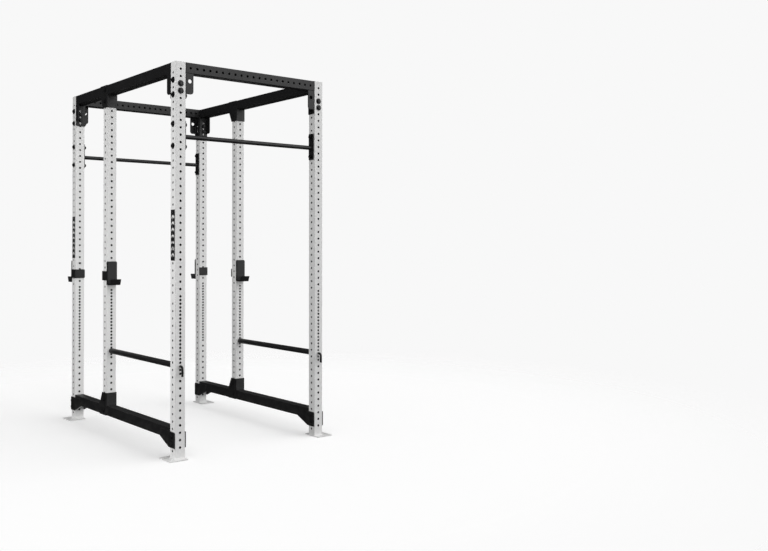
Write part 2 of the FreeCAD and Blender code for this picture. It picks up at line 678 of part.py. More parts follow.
def cup_bracket(body, strap_sign):
    """Plate, shelf and lip, and a strap round one side of the upright to a rear tab."""
    sketch = sketch_on(body, "YZ_Plane")
    outline(sketch, (
        (f"-{CUP_BACK}", "cup_top"),
        (f"-{CUP_BACK}", "-cup_bottom"),
        (f"-({CUP_FRONT} + shelf_depth + lip_width)", "-cup_bottom"),
        (f"-({CUP_FRONT} + lip_reach + lip_width)", "lip_height - cup_bottom"),
        (f"-({CUP_FRONT} + lip_reach)", "lip_height - cup_bottom"),
        (f"-({CUP_FRONT} + shelf_depth)", "plate - cup_bottom"),
        (f"-{CUP_FRONT}", "plate - cup_bottom"),
        (f"-{CUP_FRONT}", "cup_top")))
    profile = pad(body, sketch, "cup_width", both_ways=True)
    top = profile.Shape.BoundBox.ZMax
    corners = straight_edges(profile, (0, 1, 0), lambda point: point.z > top - 1)
    soften(body, profile, corners, "cup_corner")
    free_side = f"{-strap_sign} * cup_width / 2"
    strap_inside = f"{strap_sign} * {CUP_BACK}"
    strap_outside = f"{strap_sign} * {CUP_FRONT}"
    strap = sketch_on(body, "XY_Plane", "-strap_bottom")
    outline(strap, (
        (free_side, CUP_BACK), (free_side, CUP_FRONT),
        (strap_outside, CUP_FRONT), (strap_outside, f"-{CUP_FRONT}"),
        (free_side, f"-{CUP_FRONT}"), (free_side, f"-{CUP_BACK}"),
        (strap_inside, f"-{CUP_BACK}"), (strap_inside, CUP_BACK)))
    wrap = pad(body, strap, "strap_bottom - strap_top")
    box = wrap.Shape.BoundBox
    outside = box.XMax if strap_sign > 0 else box.XMin
    bends = straight_edges(wrap, (0, 0, 1), lambda point: abs(point.x - outside) < 1)
    bent = soften(body, wrap, bends, "cup_bend")
    tab = straight_edges(bent, (0, 1, 0),
                         lambda point: point.y > 0 and point.x * strap_sign < 0
                         and abs(point.x) > box.XLength / 3)
    soften(body, bent, tab, "cup_corner")
    hole = sketch_on(body, "XZ_Plane")
    circle(hole, ("0", "0"), "pin_diameter")
    cut_through(body, hole)


def cup_liner(body):
    """Plastic lining of the plate, the shelf and the lip, under the bar."""
    face = f"({CUP_FRONT} + liner_thickness)"
    floor_height = "plate + liner_thickness - cup_bottom"
    sketch = sketch_on(body, "YZ_Plane")
    outline(sketch, (
        (f"-{CUP_FRONT}", "cup_top - liner_inset"),
        (f"-{CUP_FRONT}", "plate - cup_bottom"),
        (f"-({CUP_FRONT} + shelf_depth)", "plate - cup_bottom"),
        (f"-({CUP_FRONT} + lip_reach)", "lip_height - cup_bottom"),
        (f"-({CUP_FRONT} + lip_reach - liner_thickness)", "lip_height - cup_bottom"),
        (f"-({CUP_FRONT} + shelf_depth - liner_thickness / 2)", floor_height),
        (f"-{face}", floor_height),
        (f"-{face}", "cup_top - liner_inset")))
    lining = pad(body, sketch, "cup_width - 2 * liner_inset", both_ways=True)
    top = lining.Shape.BoundBox.ZMax
    corners = straight_edges(lining, (0, 1, 0), lambda point: point.z > top - 1)
    soften(body, lining, corners, "cup_corner")


def cup_pin(body):
    """Pin welded in the plate, reaching through both walls of the upright."""
    sketch = sketch_on(body, "XZ_Plane", CUP_FRONT)
    circle(sketch, ("0", "0"), "pin_diameter")
    rod = pad(body, sketch, f"{CUP_FRONT} + post_size / 2 + cup_pin_reach", backwards=True)
    tip = [f"Edge{number}" for number, edge in enumerate(rod.Shape.Edges, start=1)
           if edge.BoundBox.YMin > rod.Shape.BoundBox.YMax - 1e-3]
    soften(body, rod, tip, "pin_chamfer", "Chamfer")


def j_cups():
    """Two J-cups on the middle uprights that face forwards, two on the rear ones that face back."""
    half_turn = FreeCAD.Rotation(FreeCAD.Vector(0, 0, 1), 180)
    for station in ("mid", "rear"):
        facing_back = station == "rear"
        for side, outward in OUTWARD.items():
            place = (POST_X[side], POST_Y[station], f"foot_thickness + {level('cup_level')}")
            name = f"jcup_{station}_{side}"
            bracket, liner, pin = (new_node(f"{name}_{piece}", place)
                                   for piece in ("bracket", "liner", "pin"))
            cup_bracket(bracket, -outward if facing_back else outward)
            cup_liner(liner)
            cup_pin(pin)
            if facing_back:
                for body in (bracket, liner, pin):
                    body.Placement.Rotation = half_turn


# --- fasteners -------------------------------------------------------------------------------

def bolt_groups():
    """Every bolted joint: plane across the bolts, span, outer plate, nuts, places and mirrors."""
    front = POST_Y["front"]
    across = ("YZ_Plane", "post_spacing")
    both = ("YZ_Plane", "XZ_Plane")
    mid_heights = (level(MID_FIRST_SIDE), "(low_beam_rise + post_size / 2)",
                   level(MID_TOP_BOLT), "(upright_length - post_size / 2)")
    return (
        ("crossmember", *across, "0", True, front,
         [level(CROSS_BOLTS_LOW), level(CROSS_BOLTS_TOP)], both),
        ("pullup", *across, "0", True, front, [level(number) for number in PULLUP_BOLTS], both),
        ("low_beam", *across, "plate", False, front,
         [level(number) for number in LOW_GUSSET_LEVELS], both),
        ("saddle", *across, "plate", False, POST_Y["mid"], mid_heights, ("YZ_Plane",)),
        ("top_beam", "XZ_Plane", DEPTH, "0", True, POST_X["left"],
         [level(BEAM_BOLTS_LOW), level(BEAM_BOLTS_TOP)], both),
    )


def chamfer_hexagons(body, feature, role, outer_end):
    """Chamfer the free ends of hexagons; outer_end is the position of those ends."""
    normal = 0 if role == "YZ_Plane" else 1
    names = [f"Edge{number}" for number, edge in enumerate(feature.Shape.Edges, start=1)
             if edge.Curve.TypeId == "Part::GeomLine"
             and abs(abs(edge.CenterOfMass[normal]) - outer_end) < 1e-3
             and abs(edge.Curve.Direction[normal]) < 1e-6]
    soften(body, feature, names, "hex_chamfer", "Chamfer")


def reach(feature, role, furthest=True):
    """How far a feature is from the middle plane of its group."""
    box = feature.Shape.BoundBox
    values = (box.XMin, box.XMax) if role == "YZ_Plane" else (box.YMin, box.YMax)
    distances = [abs(value) for value in values]
    return max(distances) if furthest else min(distances)


def group_bolts(body, role, seat, end, across, heights):
    """Hexagon heads outside the washers and shanks that end at a plane inside the joint."""
    head_seat = f"{seat} + washer_thickness"
    heads = sketch_on(body, role, head_seat)
    shanks = sketch_on(body, role, head_seat)
    for height in heights:
        hexagon(heads, (across, height), "bolt_head_size")
        circle(shanks, (across, height), "pin_diameter")
    head = pad(body, heads, "bolt_head_height")
    chamfer_hexagons(body, head, role, reach(head, role))
    pad(body, shanks, f"{head_seat} - ({end})", backwards=True)


def group_washers(body, role, seat, across, heights):
    """A washer under each head."""
    sketch = sketch_on(body, role, seat)
    for height in heights:
        circle(sketch, (across, height), "washer_diameter")
        circle(sketch, (across, height), "pin_diameter + 2 * washer_clearance")
    pad(body, sketch, "washer_thickness")


def group_nuts(body, role, nut_seat, across, heights):
    """Hexagon lock nuts on the inner flanges."""
    sketch = sketch_on(body, role, nut_seat)
    for height in heights:
        hexagon(sketch, (across, height), "bolt_head_size")
    nut = pad(body, sketch, "nut_height", backwards=True)
    chamfer_hexagons(body, nut, role, reach(nut, role, furthest=False))
    bores = sketch_on(body, role)
    for height in heights:
        circle(bores, (across, height), "pin_diameter")
    cut_through(body, bores)


def fasteners():
    """All the bolts, washers and nuts, each kind gathered in one sub-part."""
    groups = {"hex_bolts": [], "flat_washers": [], "hex_nuts": []}
    for name, role, span, outer_plate, nutted, across, heights, mirrors in bolt_groups():
        seat = f"{span} / 2 + post_size / 2 + {outer_plate}"
        nut_seat = f"{span} / 2 - post_size / 2 - plate"
        # Without nuts the bolts are screwed into the inner plate and end flush with it.
        end = f"{nut_seat} - nut_height - bolt_tip" if nutted else nut_seat
        kinds = [kind for kind in groups if nutted or kind != "hex_nuts"]
        bodies = {kind: new_body(f"{name}_{kind}", ("0", "0", "foot_thickness"))
                  for kind in kinds}
        group_bolts(bodies["hex_bolts"], role, seat, end, across, heights)
        group_washers(bodies["flat_washers"], role, seat, across, heights)
        if nutted:
            group_nuts(bodies["hex_nuts"], role, nut_seat, across, heights)
        for kind, body in bodies.items():
            mirror(body, *mirrors)
            groups[kind].append(body)
    for kind, bodies in groups.items():
        gathered = doc.addObject("Part::Compound", kind)
        gathered.Label = kind
        gathered.Links = bodies
        nodes.append(gathered)


# --- build, check and write ------------------------------------------------------------------

def check_document():
    """Stop if any object failed or any sub-part's shape is missing or broken."""
    for item in doc.Objects:
        if "Invalid" in item.State or "Error" in item.State:
            raise RuntimeError(f"{item.Label} failed: {item.State}")
    for node in nodes:
        if node.Shape.isNull() or not node.Shape.isValid() or not node.Shape.Solids:
            raise RuntimeError(f"{node.Label} has no valid solid")


uprights()
crossmembers()
side_beams()
foot_plates()
top_plates()
low_gussets()
saddles()
top_caps()
labels()
pullup_bars()
safety_pipes()
safety_pins()
j_cups()
fasteners()
doc.recompute()
check_document()

os.makedirs("parts", exist_ok=True)
for node in nodes:
    node.Shape.exportStep(f"parts/{node.Label}.step")
print(f"{len(nodes)} sub-parts, {sum(len(node.Shape.Solids) for node in nodes)} solids")
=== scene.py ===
import logging
import math
from dataclasses import dataclass, field
from enum import Enum

import bmesh
import bpy
from mathutils import Matrix, Vector


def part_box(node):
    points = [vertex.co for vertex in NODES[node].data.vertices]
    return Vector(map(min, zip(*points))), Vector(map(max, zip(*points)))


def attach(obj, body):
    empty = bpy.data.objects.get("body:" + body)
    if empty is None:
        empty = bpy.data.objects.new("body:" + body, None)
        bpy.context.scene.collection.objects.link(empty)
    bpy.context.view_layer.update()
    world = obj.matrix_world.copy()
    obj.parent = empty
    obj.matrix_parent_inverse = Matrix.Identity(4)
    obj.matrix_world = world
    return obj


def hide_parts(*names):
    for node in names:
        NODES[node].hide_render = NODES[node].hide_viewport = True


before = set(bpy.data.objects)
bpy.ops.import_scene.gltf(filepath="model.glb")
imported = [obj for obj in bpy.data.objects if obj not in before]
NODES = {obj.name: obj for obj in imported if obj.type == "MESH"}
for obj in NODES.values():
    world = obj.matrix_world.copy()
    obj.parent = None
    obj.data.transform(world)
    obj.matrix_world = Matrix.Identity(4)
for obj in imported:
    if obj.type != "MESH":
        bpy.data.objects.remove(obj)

log = logging.getLogger("power_cage")
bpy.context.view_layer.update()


# --- names ---

class Slot(Enum):
    """Names of four of the record's material slots; no piece here is given one."""

    WHITE_PAINT = "white_paint"
    BLACK_PAINT = "black_paint"
    BLACK_OXIDE = "black_oxide"
    BLACK_PLASTIC = "black_plastic"


class Run(Enum):
    """The axis that a top beam runs along, then the one across it."""

    LEFT_TO_RIGHT = (0, 1)
    FRONT_TO_REAR = (1, 0)


Socket = bpy.types.NodeSocket
Point = tuple[float, float, float]
Band = tuple[float, float]

# Sizes in metres, as everywhere in this file.
TUBE_CORNER = 0.005
BEAD_LIFT = 0.0008
SAME_POINT = 2e-6
ROUND_STEPS = 20
HEXAGON_STEPS = 24
SHARP_ANGLE = math.radians(38.0)
EASED_ANGLE = math.radians(40.0)

# Noise values between which each effect fades in.
FLECK_BAND: Band = (0.60, 0.74)
SCUFF_BAND: Band = (0.63, 0.70)
SCUFF_PATCHES: Band = (0.50, 0.66)
DUST_PATCHES: Band = (0.35, 0.75)
RUB_PATCHES: Band = (0.35, 0.65)
DRIFT_BAND: Band = (0.3, 0.7)
PEEL_BAND: Band = (0.4, 0.9)


# --- shader nodes ---

class NodeBench:
    """Adds and links the nodes of one tree."""

    def __init__(self, tree: bpy.types.NodeTree) -> None:
        """Start with an empty tree.

        Args:
            tree: the tree of a material, a world or a node group.
        """
        self.tree = tree
        self.tree.nodes.clear()

    def add(self, kind: str, **settings: object) -> bpy.types.Node:
        """Add one node.

        Args:
            kind: the node's type name.
            settings: attributes set on the node.

        Returns:
            The new node.
        """
        node = self.tree.nodes.new(kind)
        for name, value in settings.items():
            setattr(node, name, value)
        return node

    def feed(self, target: Socket, value: object) -> None:
        """Link a socket to a target, or set the target to a constant."""
        if isinstance(value, bpy.types.NodeSocket):
            self.tree.links.new(value, target)
        else:
            target.default_value = value

    def math(self, operation: str, *values: object, clamp: bool = False) -> Socket:
        """Add a Math node.

        Args:
            operation: the Math node's operation.
            values: its inputs, as sockets or numbers.
            clamp: keep the result between 0 and 1.

        Returns:
            The result.
        """
        node = self.add("ShaderNodeMath", operation=operation, use_clamp=clamp)
        for socket, value in zip(node.inputs, values):
            self.feed(socket, value)
        return node.outputs[0]

    def remap(self, value: object, low: float, high: float, to_low: object = 0.0,
              to_high: object = 1.0) -> Socket:
        """Map a range smoothly on to another one.

        Args:
            value: the value to map.
            low: where the range starts.
            high: where it ends.
            to_low: the result at the start.
            to_high: the result at the end.

        Returns:
            The mapped value.
        """
        node = self.add("ShaderNodeMapRange", interpolation_type="SMOOTHSTEP")
        for name, entry in (("Value", value), ("From Min", low), ("From Max", high),
                            ("To Min", to_low), ("To Max", to_high)):
            self.feed(node.inputs[name], entry)
        return node.outputs[0]

    def blend(self, factor: object, first: object, second: object) -> Socket:
        """Mix two colours by a factor and return the mix."""
        node = self.add("ShaderNodeMix", data_type="RGBA")
        self.feed(node.inputs[0], factor)
        self.feed(node.inputs[6], first)
        self.feed(node.inputs[7], second)
        return node.outputs[2]

    def split(self, vector: object) -> bpy.types.bpy_prop_collection:
        """Separate a vector and return its X, Y and Z."""
        node = self.add("ShaderNodeSeparateXYZ")
        self.feed(node.inputs[0], vector)
        return node.outputs

    def layer(self, factor: object, under: Socket, over: Socket) -> Socket:
        """Mix two shaders by a factor and return the mix."""
        node = self.add("ShaderNodeMixShader")
        for socket, value in zip(node.inputs, (factor, under, over)):
            self.feed(socket, value)
        return node.outputs[0]

    def put_out(self, shader: Socket, kind: str = "ShaderNodeOutputMaterial") -> None:
        """Send a shader to the tree's output."""
        self.feed(self.add(kind).inputs["Surface"], shader)

    def noise(self, vector: object, scale: object, detail: float = 2.0) -> Socket:
        """Add a Noise Texture and return its value."""
        node = self.add("ShaderNodeTexNoise")
        self.feed(node.inputs["Vector"], vector)
        self.feed(node.inputs["Scale"], scale)
        node.inputs["Detail"].default_value = detail
        return node.outputs["Fac"]

    def stretch(self, vector: Socket, scale: Point) -> Socket:
        """Scale a pattern's coordinates unequally and return them."""
        node = self.add("ShaderNodeMapping")
        self.feed(node.inputs["Vector"], vector)
        node.inputs["Scale"].default_value = scale
        return node.outputs[0]


class EffectGroup:
    """A shader node group that several finishes share."""

    def __init__(self, name: str, inputs: dict[str, object], outputs: tuple[str, ...]) -> None:
        """Make the group and its sockets.

        Args:
            name: the group's name.
            inputs: the inputs and their defaults; None stands for a vector.
            outputs: the names of the values it puts out.
        """
        self.tree = bpy.data.node_groups.new(name, "ShaderNodeTree")
        for label, default in inputs.items():
            kind = "NodeSocketVector" if default is None else "NodeSocketFloat"
            socket = self.tree.interface.new_socket(label, in_out="INPUT", socket_type=kind)
            if default is not None:
                socket.default_value = default
        for label in outputs:
            self.tree.interface.new_socket(label, in_out="OUTPUT", socket_type="NodeSocketFloat")
        self.bench = NodeBench(self.tree)
        self.ins = self.bench.add("NodeGroupInput").outputs
        self.outs = self.bench.add("NodeGroupOutput").inputs

    def put_out(self, label: str, value: Socket) -> None:
        """Send a value to one of the group's outputs."""
        self.bench.tree.links.new(value, self.outs[label])

    def place(self, bench: NodeBench, vector: Socket, **values: float) -> bpy.types.Node:
        """Place the group in a material.

        Args:
            bench: the material's nodes.
            vector: coordinates that the effect follows.
            values: this material's values, with _ for each space in an input's name.

        Returns:
            The group node.
        """
        node = bench.add("ShaderNodeGroup", node_tree=self.tree)
        bench.feed(node.inputs["Vector"], vector)
        for name, value in values.items():
            bench.feed(node.inputs[name.replace("_", " ")], value)
        return node


@dataclass
class Effects:
    """The shared effects: powder grain, scuffs, floor dust, rubbed holes and slow drift."""

    grain: EffectGroup = field(init=False)
    scuffs: EffectGroup = field(init=False)
    dust: EffectGroup = field(init=False)
    holes: EffectGroup = field(init=False)

    def __post_init__(self) -> None:
        """Build each group once."""
        self.grain = self._powder_grain()
        self.scuffs = self._handling_scuffs()
        self.dust = self._floor_dust()
        self.holes = self._rubbed_holes()

    def _powder_grain(self) -> EffectGroup:
        """Orange peel with fine specks, as baked powder has.

        Returns:
            A group with Height, Speck and Drift outputs.
        """
        group = EffectGroup("Powder grain", {"Vector": None, "Peel": 260.0, "Specks": 900.0},
                            ("Height", "Speck", "Drift"))
        bench, vector = group.bench, group.ins["Vector"]
        peel = bench.noise(vector, group.ins["Peel"], 3.0)
        cells = bench.add("ShaderNodeTexVoronoi", feature="SMOOTH_F1")
        bench.feed(cells.inputs["Vector"], vector)
        bench.feed(cells.inputs["Scale"], group.ins["Specks"])
        lumps = bench.math("MULTIPLY", cells.outputs["Distance"], 0.5)
        group.put_out("Height", bench.math("ADD", peel, lumps))
        fine = bench.noise(vector, group.ins["Specks"], 1.0)
        group.put_out("Speck", bench.remap(fine, *FLECK_BAND))
        group.put_out("Drift", bench.noise(vector, 2.4, 3.0))
        return group

    def _handling_scuffs(self) -> EffectGroup:
        """Long thin marks that plates, pins and bars leave.

        Returns:
            A group with a Mask output.
        """
        group = EffectGroup("Handling scuffs", {"Vector": None, "Size": 30.0, "Amount": 0.5},
                            ("Mask",))
        bench, vector = group.bench, group.ins["Vector"]
        lines = bench.noise(bench.stretch(vector, (5.0, 5.0, 0.6)), group.ins["Size"], 4.0)
        patches = bench.noise(vector, 5.0, 2.0)
        thin = bench.remap(lines, *SCUFF_BAND)
        where = bench.remap(patches, *SCUFF_PATCHES)
        both = bench.math("MULTIPLY", thin, where)
        group.put_out("Mask", bench.math("MULTIPLY", both, group.ins["Amount"], clamp=True))
        return group

    def _floor_dust(self) -> EffectGroup:
        """Dust and shoe marks that fade upwards from the floor.

        Returns:
            A group with a Mask output.
        """
        group = EffectGroup("Floor dust", {"Vector": None, "Rise": 0.3, "Amount": 0.4}, ("Mask",))
        bench, vector = group.bench, group.ins["Vector"]
        height = bench.math("DIVIDE", bench.split(vector)["Z"], group.ins["Rise"])
        near = bench.math("SUBTRACT", 1.0, height, clamp=True)
        patches = bench.remap(bench.noise(vector, 22.0, 5.0), *DUST_PATCHES)
        both = bench.math("MULTIPLY", bench.math("POWER", near, 1.6), patches)
        group.put_out("Mask", bench.math("MULTIPLY", both, group.ins["Amount"], clamp=True))
        return group

    def _rubbed_holes(self) -> EffectGroup:
        """Rings round a row of holes where pins rub the paint.

        Returns:
            A group with a Ring output.
        """
        group = EffectGroup("Rubbed holes", {"Vector": None, "Across": 0.0, "Height": 0.08255,
                                             "Pitch": 0.0508, "Radius": 0.00875, "Width": 0.006},
                            ("Ring",))
        bench, ins = group.bench, group.ins
        above = bench.math("SUBTRACT", bench.split(ins["Vector"])["Z"], ins["Height"])
        steps = bench.math("DIVIDE", above, ins["Pitch"])
        nearest = bench.math("ROUND", steps)
        rise = bench.math("MULTIPLY", bench.math("SUBTRACT", steps, nearest), ins["Pitch"])
        along = bench.math("POWER", rise, 2.0)
        away = bench.math("POWER", ins["Across"], 2.0)
        distance = bench.math("SQRT", bench.math("ADD", along, away))
        beyond = bench.math("SUBTRACT", distance, ins["Radius"])
        ring = bench.math("SUBTRACT", 1.0, bench.math("DIVIDE", beyond, ins["Width"]), clamp=True)
        patchy = bench.remap(bench.noise(ins["Vector"], 60.0, 3.0), *RUB_PATCHES, 0.25, 1.0)
        group.put_out("Ring", bench.math("MULTIPLY", bench.math("POWER", ring, 2.0), patchy))
        return group


# --- finishes ---

@dataclass(frozen=True)
class Finish:
    """A painted, plated or moulded finish."""

    name: str
    colour: Point
    rubbed: Point
    dusty: Point
    roughness: float
    grain_depth: float
    peel: float = 260.0
    specks: float = 900.0
    metallic: float = 0.0
    specular: float = 0.5
    coat: float = 0.0
    scuff: float = 0.3
    dust: float = 0.4
    dust_rise: float = 0.3
    drift: float = 0.06
    speck: float = 0.1
    smoother: float = 0.05
    rougher: float = 0.07
    dust_rough: float = 0.25
    worn_smooth: float = 0.08

    def make(self, effects: Effects) -> bpy.types.Material:
        """Build the material.

        Args:
            effects: the shared effect groups.

        Returns:
            The finished material.
        """
        material = bpy.data.materials.new(self.name)
        material.use_nodes = True
        bench = NodeBench(material.node_tree)
        vector = bench.add("ShaderNodeTexCoord").outputs["Object"]
        grain = effects.grain.place(bench, vector, Peel=self.peel, Specks=self.specks)
        scuffs = effects.scuffs.place(bench, vector, Amount=self.scuff).outputs["Mask"]
        dust = effects.dust.place(bench, vector, Rise=self.dust_rise,
                                  Amount=self.dust).outputs["Mask"]
        drift = bench.remap(grain.outputs["Drift"], *DRIFT_BAND)
        darker = tuple(channel * (1.0 - self.drift) for channel in self.colour)
        colour = bench.blend(drift, (*darker, 1.0), (*self.colour, 1.0))
        flecks = bench.math("MULTIPLY", grain.outputs["Speck"], self.speck)
        worn = bench.math("MAXIMUM", bench.math("MAXIMUM", scuffs, flecks),
                          self.extra_wear(bench, vector, effects))
        colour = bench.blend(worn, colour, (*self.rubbed, 1.0))
        colour = bench.blend(dust, colour, (*self.dusty, 1.0))
        colour = self.decorate(bench, vector, colour)
        rough = bench.remap(grain.outputs["Height"], *PEEL_BAND, self.roughness - self.smoother,
                            self.roughness + self.rougher)
        for operation, mask, share in (("ADD", dust, self.dust_rough),
                                       ("SUBTRACT", worn, self.worn_smooth)):
            change = bench.math("MULTIPLY", mask, share)
            rough = bench.math(operation, rough, change, clamp=True)
        bump = bench.add("ShaderNodeBump")
        bench.feed(bump.inputs["Height"], grain.outputs["Height"])
        bump.inputs["Distance"].default_value = self.grain_depth
        shader = bench.add("ShaderNodeBsdfPrincipled")
        bench.feed(shader.inputs["Base Color"], colour)
        bench.feed(shader.inputs["Roughness"], rough)
        bench.feed(shader.inputs["Normal"], bump.outputs[0])
        shader.inputs["Metallic"].default_value = self.metallic
        shader.inputs["Specular IOR Level"].default_value = self.specular
        shader.inputs["Coat Weight"].default_value = self.coat
        bench.put_out(shader.outputs[0])
        return material

    def extra_wear(self, bench: NodeBench, vector: Socket, effects: Effects) -> object:
        """Return more wear for the mask; a plain finish has none."""
        return 0.0

    def decorate(self, bench: NodeBench, vector: Socket, colour: Socket) -> Socket:
        """Return the colour with any pattern laid over it; a plain finish has none."""
        return colour


@dataclass(frozen=True)
class PunchedFinish(Finish):
    """Paint on an upright, rubbed round the rows of holes in its four faces, with the inside of
    the tube near black as bare steel and painted shade.
    """

    centre_x: float = 0.5842
    centre_y: float = 0.9271
    rub: float = 0.14
    skin: float = 0.0369
    # Near-black inside of the tube: a bare-steel tone darkened further as painted shade in the
    # recesses.
    bare_steel_and_painted_shade: Point = (0.050, 0.050, 0.052)

    def off_centre(self, bench: NodeBench, vector: Socket) -> list[Socket]:
        """Measure how far a point is from the tube's centre.

        Args:
            bench: the material's nodes.
            vector: object coordinates.

        Returns:
            The signed distance along X, then along Y.
        """
        parts = bench.split(vector)
        return [bench.math("SUBTRACT", bench.math("ABSOLUTE", parts[axis]), centre)
                for axis, centre in (("X", self.centre_x), ("Y", self.centre_y))]

    def extra_wear(self, bench: NodeBench, vector: Socket, effects: Effects) -> object:
        """Rings round the holes of both pairs of faces.

        Args:
            bench: the material's nodes.
            vector: object coordinates.
            effects: the shared effect groups.

        Returns:
            The strength of the wear.
        """
        wear: object = 0.0
        for away in self.off_centre(bench, vector):
            ring = effects.holes.place(bench, vector, Across=away).outputs["Ring"]
            wear = bench.math("MAXIMUM", wear, ring)
        return bench.math("MULTIPLY", wear, self.rub)

    def decorate(self, bench: NodeBench, vector: Socket, colour: Socket) -> Socket:
        """Paint the inside of the tube and of its holes near black: dark mill steel, darkened
        further as painted shade in these recesses.

        Args:
            bench: the material's nodes.
            vector: object coordinates.
            colour: the paint's colour.

        Returns:
            The colour with the unpainted inside, darkened as painted shade.
        """
        away = [bench.math("ABSOLUTE", side) for side in self.off_centre(bench, vector)]
        inside = bench.math("LESS_THAN", bench.math("MAXIMUM", *away), self.skin)
        # Painted shade: the tube's inside and its hole walls go near black, on top of their
        # bare-steel tone.
        return bench.blend(inside, colour, (*self.bare_steel_and_painted_shade, 1.0))


@dataclass(frozen=True)
class StripedFinish(Finish):
    """Vinyl with a plain printed column of chevrons."""

    centre_y: float = 0.9271
    bottom: float = 1.3704
    top: float = 1.7234
    bar_pitch: float = 0.044
    bar_share: float = 0.36
    bar_slant: float = 0.6
    bar_reach: float = 0.020
    plain_foot: float = 0.018
    plain_head: float = 0.030
    print_colour: Point = (0.72, 0.72, 0.71)

    def decorate(self, bench: NodeBench, vector: Socket, colour: Socket) -> Socket:
        """Lay the printed chevrons over the vinyl.

        Args:
            bench: the material's nodes.
            vector: object coordinates.
            colour: the vinyl's colour.

        Returns:
            The printed colour.
        """
        parts = bench.split(vector)
        across = bench.math("SUBTRACT", bench.math("ABSOLUTE", parts["Y"]), self.centre_y)
        offset = bench.math("ABSOLUTE", across)
        slant = bench.math("MULTIPLY", offset, self.bar_slant)
        slanted = bench.math("ADD", parts["Z"], slant)
        phase = bench.math("FRACT", bench.math("DIVIDE", slanted, self.bar_pitch))
        bars = bench.math("LESS_THAN", phase, self.bar_share)
        inside = bench.math("LESS_THAN", offset, self.bar_reach)
        above = bench.math("GREATER_THAN", parts["Z"], self.bottom + self.plain_foot)
        below = bench.math("LESS_THAN", parts["Z"], self.top - self.plain_head)
        for limit in (inside, above, below):
            bars = bench.math("MULTIPLY", bars, limit)
        return bench.blend(bars, colour, (*self.print_colour, 1.0))


@dataclass
class FinishShelf:
    """Every finish of the cage, made once."""

    effects: Effects

    def __post_init__(self) -> None:
        """Make the materials."""
        white = dict(colour=(0.80, 0.80, 0.795), rubbed=(0.42, 0.42, 0.42),
                     dusty=(0.60, 0.585, 0.56), roughness=0.42, grain_depth=0.00005,
                     drift=0.015, speck=0.02, scuff=0.05, dust=0.10, dust_rise=0.22)
        self.corner_white = PunchedFinish("White powder coat, corner uprights",
                                          **white).make(self.effects)
        self.middle_white = PunchedFinish("White powder coat, middle uprights",
                                          centre_y=0.2540, **white).make(self.effects)
        self.plate_white = Finish("White powder coat, plates", **white).make(self.effects)
        black = dict(rubbed=(0.075, 0.075, 0.077), dusty=(0.16, 0.155, 0.145),
                     peel=340.0, specks=1400.0, speck=0.5)
        self.black = Finish("Black powder coat", colour=(0.0095, 0.0095, 0.0100),
                            roughness=0.46, grain_depth=0.00022, scuff=0.35, dust=0.35,
                            dust_rise=0.28, drift=0.2, **black).make(self.effects)
        self.black_bar = Finish("Black powder coat, bars", colour=(0.0105, 0.0105, 0.0110),
                                roughness=0.40, grain_depth=0.00012, scuff=0.5, dust=0.2,
                                dust_rise=0.2, drift=0.2, **black).make(self.effects)
        self.oxide = Finish("Black zinc", colour=(0.020, 0.020, 0.021),
                            rubbed=(0.16, 0.16, 0.165), dusty=(0.12, 0.115, 0.11),
                            roughness=0.38, grain_depth=0.00004,
                            peel=700.0, specks=2400.0, metallic=0.6, scuff=0.5,
                            dust=0.2, drift=0.3, speck=0.25).make(self.effects)
        self.plastic = Finish("Moulded nylon", colour=(0.012, 0.012, 0.012),
                              rubbed=(0.05, 0.05, 0.05), dusty=(0.12, 0.12, 0.115),
                              roughness=0.55, grain_depth=0.00010,
                              peel=1100.0, specks=3000.0, scuff=0.2, dust=0.2,
                              drift=0.15, speck=0.2).make(self.effects)
        self.liner = Finish("Machined liner plastic", colour=(0.016, 0.016, 0.017),
                            rubbed=(0.07, 0.07, 0.07), dusty=(0.12, 0.12, 0.115),
                            roughness=0.50, grain_depth=0.00014,
                            peel=520.0, specks=1800.0, scuff=0.6, dust=0.1,
                            drift=0.2, speck=0.3).make(self.effects)
        self.weld = Finish("Painted weld, black", colour=(0.0105, 0.0105, 0.0110),
                           roughness=0.42, grain_depth=0.00030, scuff=0.1, dust=0.35,
                           dust_rise=0.28, drift=0.2, **black).make(self.effects)
        self.weld_white = Finish("Painted weld, white", **white).make(self.effects)
        self.label = StripedFinish("Satin vinyl label", colour=(0.011, 0.011, 0.012),
                                   rubbed=(0.10, 0.10, 0.10), dusty=(0.2, 0.2, 0.2),
                                   roughness=0.35, grain_depth=0.00003,
                                   peel=900.0, specks=2600.0, scuff=0.25, dust=0.0,
                                   drift=0.1, speck=0.1).make(self.effects)


# --- mesh tools ---

def show(name: str, data: bpy.types.ID) -> bpy.types.Object:
    """Put a mesh, a light or a camera in the scene and return its object."""
    shown = bpy.data.objects.new(name, data)
    bpy.context.scene.collection.objects.link(shown)
    return shown


def piece_from(bm: bmesh.types.BMesh, name: str, material: bpy.types.Material,
               body: str = "frame") -> bpy.types.Object:
    """Turn a bmesh into a piece that rides on a body.

    Args:
        bm: the finished mesh, in place.
        name: the piece's name.
        material: its finish.
        body: the CAD body it moves with.

    Returns:
        The new object.
    """
    bmesh.ops.recalc_face_normals(bm, faces=bm.faces)
    mesh = bpy.data.meshes.new(name)
    bm.to_mesh(mesh)
    bm.free()
    mesh.materials.append(material)
    piece = show(name, mesh)
    for face in mesh.polygons:
        face.use_smooth = True
    mesh.set_sharp_from_angle(angle=SHARP_ANGLE)
    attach(piece, body)
    log.info("%s: %d faces", name, len(mesh.polygons))
    return piece


def paint(node: bpy.types.Object, material: bpy.types.Material) -> None:
    """Put one finish in every material slot of a CAD node."""
    if not node.material_slots:
        node.data.materials.append(material)
    for entry in node.material_slots:
        entry.material = material


def feet() -> list[str]:
    """Return the names of the four foot plates."""
    return sorted(name for name in NODES if name.startswith("foot_plate_"))


